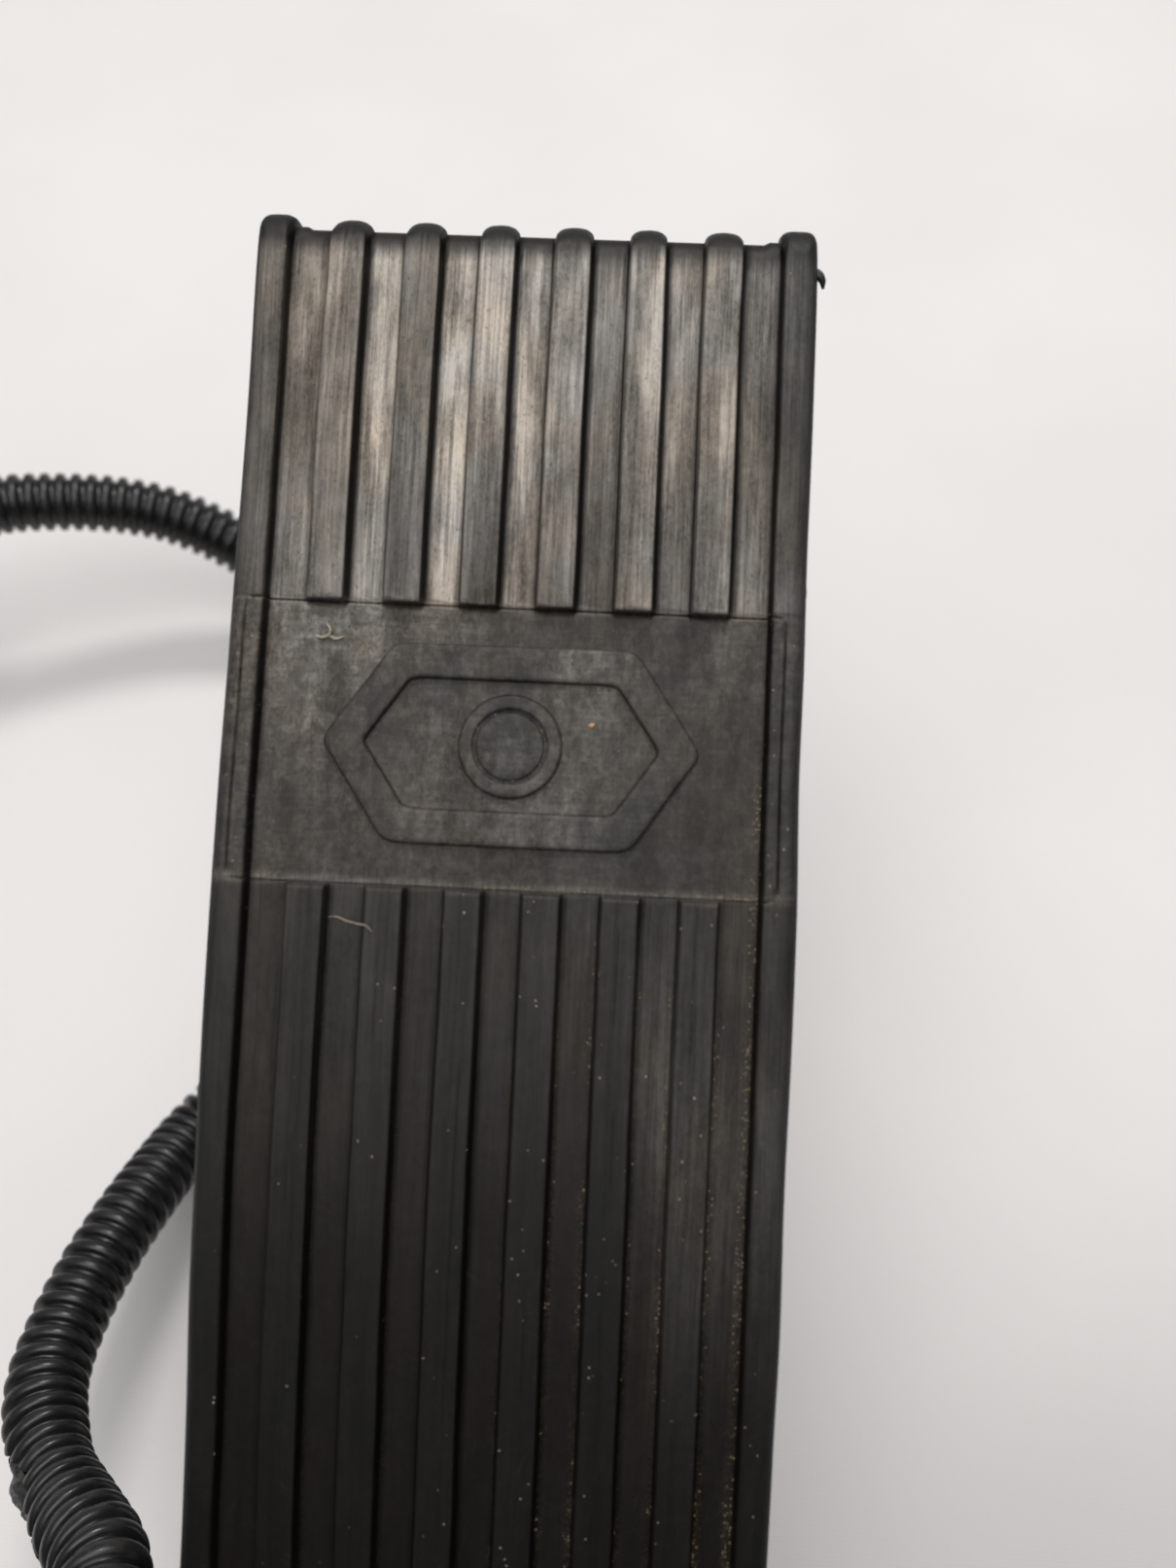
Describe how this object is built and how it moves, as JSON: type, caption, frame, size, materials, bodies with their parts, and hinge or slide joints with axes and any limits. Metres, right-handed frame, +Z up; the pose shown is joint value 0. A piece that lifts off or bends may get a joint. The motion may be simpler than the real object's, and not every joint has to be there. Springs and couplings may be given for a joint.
{
  "type": "accelerator treadle",
  "caption": "Floor-mounted accelerator treadle: ribbed rubber pad on a heel-hinged plate, over a cast base with sprung roller lever, position sensor and corrugated harness leads.",
  "frame": {"origin": "centre line of the base, on its underside, between the heel hinge and the lever shaft", "axes": "+X to the driver's right, +Y from heel to toe, +Z up"},
  "size_m": [0.2235, 0.407, 0.156],
  "materials": {
    "black_rubber": "matt moulded rubber, worn, streaked and dusty in the grooves",
    "coated_steel": "black e-coat, chipped edges",
    "cast_aluminium": "as-cast, machined faces",
    "nylon": "natural moulded nylon",
    "zinc_steel": "zinc plated",
    "spring_steel": "oil-tempered wire, thin oil film",
    "bronze": "sintered bearing bronze",
    "black_plastic": "fine-textured glass-filled plastic",
    "grey_plastic": "moulded",
    "board": "solder-masked circuit board",
    "seal": "silicone",
    "loom": "corrugated polyethylene, semi-gloss",
    "tape": "woven harness tape",
    "wire_red": "extruded insulation",
    "wire_white": "extruded insulation",
    "wire_blue": "extruded insulation"
  },
  "bodies": {
    "base": {"base_casting": "cast_aluminium", "heel_bush_left": "bronze", "heel_bush_right": "bronze", "full_stop_bumper": "black_rubber", "idle_stop_screw": "zinc_steel", "idle_stop_nut": "zinc_steel", "shaft_bush_left": "bronze", "shaft_bush_right": "bronze", "thrust_washer": "spring_steel", "return_spring_left": "spring_steel", "return_spring_right": "spring_steel", "sensor_gasket": "black_rubber", "shaft_seal": "black_rubber", "sensor_housing": "black_plastic", "sensor_cover": "black_plastic", "sensor_board": "board", "sensor_screw_heel": "zinc_steel", "sensor_screw_toe": "zinc_steel", "sensor_conduit": "loom", "sensor_wire_red": "wire_red", "sensor_wire_white": "wire_white", "sensor_wire_blue": "wire_blue", "sensor_tape_wrap": "tape", "sensor_connector": "black_plastic", "sensor_connector_seal": "seal", "sensor_connector_lock": "grey_plastic", "switch_conduit": "loom", "switch_wire_red": "wire_red", "switch_wire_white": "wire_white", "switch_wire_blue": "wire_blue", "switch_tape_wrap": "tape", "switch_connector": "black_plastic", "switch_connector_seal": "seal", "switch_connector_lock": "grey_plastic"},
    "treadle": {"treadle_plate": "coated_steel", "treadle_pad": "black_rubber", "cam_strip": "nylon", "cam_rivet_heel": "zinc_steel", "cam_rivet_toe": "zinc_steel", "heel_hinge_pin": "zinc_steel", "heel_pin_clip_left": "spring_steel", "heel_pin_clip_right": "spring_steel"},
    "lever": {"lever_shaft": "zinc_steel", "roller_lever": "cast_aluminium", "lever_set_screw": "zinc_steel", "shaft_retaining_ring": "spring_steel", "spring_guide_left": "nylon", "spring_guide_right": "nylon", "sensor_rotor": "grey_plastic", "roller_pin": "zinc_steel", "roller_pin_clip": "spring_steel"},
    "roller": {"cam_roller": "nylon"}
  },
  "joints": [
    {"name": "treadle_pivot", "type": "hinge", "parent": "base", "child": "treadle", "pos_m": [0, -0.112, 0.028], "axis": [-1, 0, 0], "range_deg": [0, 17], "stiffness_Nm_per_rad": 5, "springref_deg": -17.19},
    {"name": "lever_pivot", "type": "hinge", "parent": "base", "child": "lever", "pos_m": [0, 0.058, 0.034], "axis": [1, 0, 0], "range_deg": [0, 41], "stiffness_Nm_per_rad": 0.1, "springref_deg": -28.65, "deforming": ["return_spring_left", "return_spring_right"]},
    {"name": "roller_spin", "type": "hinge", "parent": "lever", "child": "roller", "pos_m": [0, 0.00992, 0.08208], "axis": [-1, 0, 0], "range_deg": [0, 253]}
  ],
  "couplings": [
    {"joint": "lever_pivot", "follows": "treadle_pivot", "ratio": 2.4},
    {"joint": "roller_spin", "follows": "treadle_pivot", "ratio": 14.87}
  ]
}
